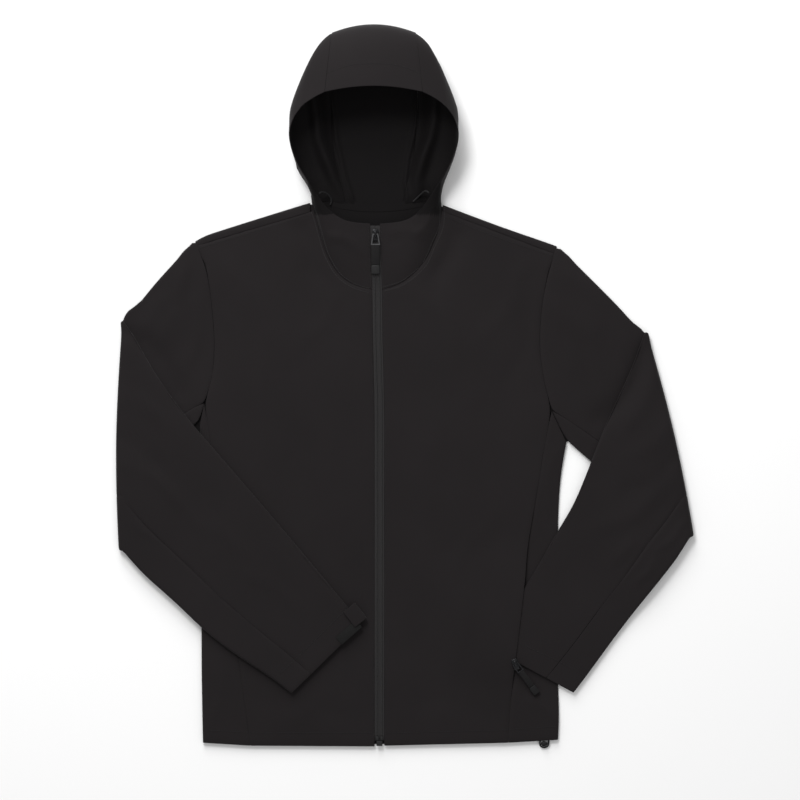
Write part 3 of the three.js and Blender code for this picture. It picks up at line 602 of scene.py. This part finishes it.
def rounded_copy(name, node, body, material, width):
    """A trim with its edges rounded by a width in millimetres."""
    bm = bmesh.new()
    bm.from_mesh(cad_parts[node].data)
    bmesh.ops.remove_doubles(bm, verts=bm.verts, dist=TRIM_WELD)
    bmesh.ops.dissolve_limit(bm, angle_limit=TRIM_FLAT, verts=bm.verts, edges=bm.edges)
    sharp = [e for e in bm.edges if e.is_manifold and e.calc_face_angle() > TRIM_SHARP]
    bmesh.ops.bevel(bm, geom=sharp, offset=width / 1000, offset_type="OFFSET", affect="EDGES", segments=2,
                    profile=0.5, material=-1, clamp_overlap=True)
    bmesh.ops.triangulate(bm, faces=[f for f in bm.faces if len(f.verts) > 4])
    finished(name, bm, material, body, node)


# The pocket pull lies mostly under the cuff's edge; its grey bail and darker end, next to the front pull's
# bright bail and lighter end, are painted shade.
for prefix, body, bail, end in (
    ("zip", "front_pull", BRIGHT_METAL, MOULDED), ("pocket", "pocket_pull", GREY_METAL, DARK_MOULDED),
):
    rounded_copy(prefix + "_slider_body", prefix + "_slider", "jacket", GREY_METAL, 0.35)
    rounded_copy(prefix + "_bail", prefix + "_pull_bail", body, bail, 0.35)
    rounded_copy(prefix + "_tape", prefix + "_pull_tape", body, PULL_TAPE, 0.3)
    rounded_copy(prefix + "_end", prefix + "_pull_end", body, end, 0.6)
for node in ("zip_stop_right", "zip_stop_left", "zip_box"):
    rounded_copy(node + "_moulded", node, "jacket", MOULDED, 0.4)
rounded_copy("hem_cord_lock", "hem_lock", "jacket", DARK_MOULDED, 0.1)
rounded_copy("cuff_hook_patch", "cuff_patch_right", "jacket", HOOK_PILE, 0.2)
panels.append(sewn_panel("cuff_tab_strap", "cuff_tab_right",
                         dips=False))

# Topstitching: black polyester thread, a stitch every 3 mm.
# It is sewn through the cloth beside the seams and lies on it as short raised stitches.
STITCH_PITCH = 3.0
STITCH_LENGTH = 2.3
STITCH_THICK = 0.42
NECK_SEAM = [
    [(-90, 734), (-83, 713), (-73, 677), (-65, 658), (-52, 639), (-33, 626), (-11, 619)],
    [(87, 732), (86, 707), (76, 683), (63, 655), (43, 636), (27, 627), (7, 621)],
]
NECK_STITCH = 3.0
ABOVE_ALL = 200


def beside(line, away):
    """A line moved sideways by a distance."""
    moved = []
    for i, at in enumerate(line):
        ahead = Vector(line[min(i + 1, len(line) - 1)]) - Vector(line[max(i - 1, 0)])
        moved.append(tuple(Vector(at) + Vector((-ahead.y, ahead.x)).normalized() * away))
    return moved


STITCH_LINES = {
    "neck": [beside(line, away) for line in NECK_SEAM for away in (-NECK_STITCH, NECK_STITCH)],
    "zip": [
        [(-6.6, 14), (-6.6, 430), (-7.6, 500), (-9, 560), (-9.8, 616)],
        [(10.6, 14), (10.6, 430), (9.6, 500), (8.2, 560), (7.4, 616)],
        [(-10, 626), (-12.6, 704)], [(7.2, 626), (4.6, 704)],
    ],
    "hem": [
        [(-232, 22), (-176, 19)], [(-170, 19), (-8, 18)], [(12, 18), (174, 22)], [(180, 23), (240, 27)],
    ],
    "cuff": [
        [(-40, 190), (-88, 142), (-134, 98)], [(192, 140), (240, 118), (282, 96)],
    ],
    "rim": [
        [(-68, 911), (-36, 921), (-5, 923), (26, 921), (56, 911)],
    ],
    "shoulder": [
        [(-244, 676.5), (-160, 702), (-96, 722)], [(236, 667), (166, 690), (92, 720)],
    ],
}


def cloth_surface(pieces):
    """One search tree over the faces of the given pieces."""
    corners, faces = [], []
    for piece in pieces:
        start = len(corners)
        corners += [v.co.copy() for v in piece.data.vertices]
        faces += [[start + i for i in f.vertices] for f in piece.data.polygons]
    return BVHTree.FromPolygons(corners, faces)


def stitched(name, lines, surface, thread, pitch=STITCH_PITCH, length=STITCH_LENGTH, thick=STITCH_THICK):
    """Rows of small oval stitches, each laid on the cloth below its line."""
    bm = bmesh.new()
    for line in lines:
        route = smooth_route([(x, y, 0) for x, y in line], steps=12)
        spare = 0.0
        for a, b in zip(route, route[1:]):
            way = (b - a).normalized()
            step = (b - a).length
            while spare <= step:
                at = a + way * spare
                top = on_jacket(at.x, at.y, ABOVE_ALL)
                hit, normal, _, _ = surface.ray_cast(top, Vector((0, 0, -1)))
                spare += pitch
                if hit is None:
                    continue
                along = (way - normal * way.dot(normal)).normalized()
                across = normal.cross(along)
                axes = Matrix((along * length / 2000, across * thick / 1000, normal * thick / 1000))
                axes.transpose()
                place = Matrix.Translation(hit + normal * thick / 4000) @ axes.to_4x4()
                bmesh.ops.create_icosphere(bm, subdivisions=1, radius=1.0, matrix=place)
            spare -= step
    finished(name, bm, thread, "jacket")


DARK_THREAD = speckled("dark_thread", (0.010, 0.010, 0.010), (0.024, 0.0235, 0.0240), 900, 0.5, 0, 0.3)
# The neck stitches and the zip coil's ribs take a lighter thread colour: painted sheen on the black thread.
THREAD_PAINTED_SHEEN = speckled("thread_painted_sheen", (0.018, 0.0172, 0.0176), (0.048, 0.047, 0.0475), 900, 0.5, 0, 0.3)
surface = cloth_surface(panels)
for name, lines in STITCH_LINES.items():
    stitched(name + "_stitching", lines, surface, THREAD_PAINTED_SHEEN if name == "neck" else DARK_THREAD)

# Zip coil: a nylon spiral sewn behind each tape.
# It shows through the weave as a row of small ribs beside the zip's middle line, drawn lighter with painted
# sheen.
COIL_PITCH = 1.9
RIB_LENGTH = 1.5
RIB_THICK = 1.3
COIL_LINES = [
    [(-1.2, 16), (-1.2, 430), (-2.2, 500), (-3.6, 560), (-4.4, 622), (-7.4, 700)],
    [(5.2, 16), (5.2, 430), (4.2, 500), (2.8, 560), (2.0, 622), (-1.0, 700)],
]
stitched("zip_coil_ribs", COIL_LINES, surface, THREAD_PAINTED_SHEEN, COIL_PITCH, RIB_LENGTH, RIB_THICK)

# Table top: a plain pale painted board, just under the cloth.
# Light: two soft white boxes from above the hood, and a wide fill from the hem's side.
FLOOR_COLOUR = (0.88, 0.88, 0.88)
FLOOR_HALF = 6
FLOOR_DROP = 0.0004
SKY_STRENGTH = 0.50
bm = bmesh.new()
bmesh.ops.create_grid(bm, x_segments=2, y_segments=2, size=FLOOR_HALF)
bmesh.ops.translate(bm, verts=bm.verts, vec=(0, 0, -FLOOR_DROP))
floor_mesh = bpy.data.meshes.new("table_top")
bm.to_mesh(floor_mesh)
bm.free()
floor = bpy.data.objects.new("table_top", floor_mesh)
bpy.context.collection.objects.link(floor)
floor_paint, _, floor_shader = principled("table_paint", Roughness=0.9, Specular_IOR_Level=0.1)
floor_shader.inputs["Base Color"].default_value = (*FLOOR_COLOUR, 1)
floor_mesh.materials.append(floor_paint)


def softbox(name, place, aim, size, power):
    """A square soft light at a place in metres, turned to its aim."""
    light = bpy.data.lights.new(name, "AREA")
    light.size = size
    light.energy = power
    lamp = bpy.data.objects.new(name, light)
    lamp.location = place
    lamp.rotation_euler = (Vector(aim) - Vector(place)).to_track_quat("-Z", "Y").to_euler()
    bpy.context.collection.objects.link(lamp)


softbox("key", (-0.9, 2.0, 2.6), (0, 0, 0), 1.0, 62)
softbox("low_key", (-0.7, 2.9, 1.5), (0, 0.1, 0), 1.5, 70)
softbox("fill", (0.6, -1.8, 2.4), (0, 0, 0), 2.4, 10)
world = bpy.data.worlds.new("studio")
world.use_nodes = True
sky = world.node_tree.nodes["Background"]
sky.inputs["Color"].default_value = (1, 1, 1, 1)
sky.inputs["Strength"].default_value = SKY_STRENGTH
bpy.context.scene.world = world
bpy.context.scene.view_settings.view_transform = "Standard"
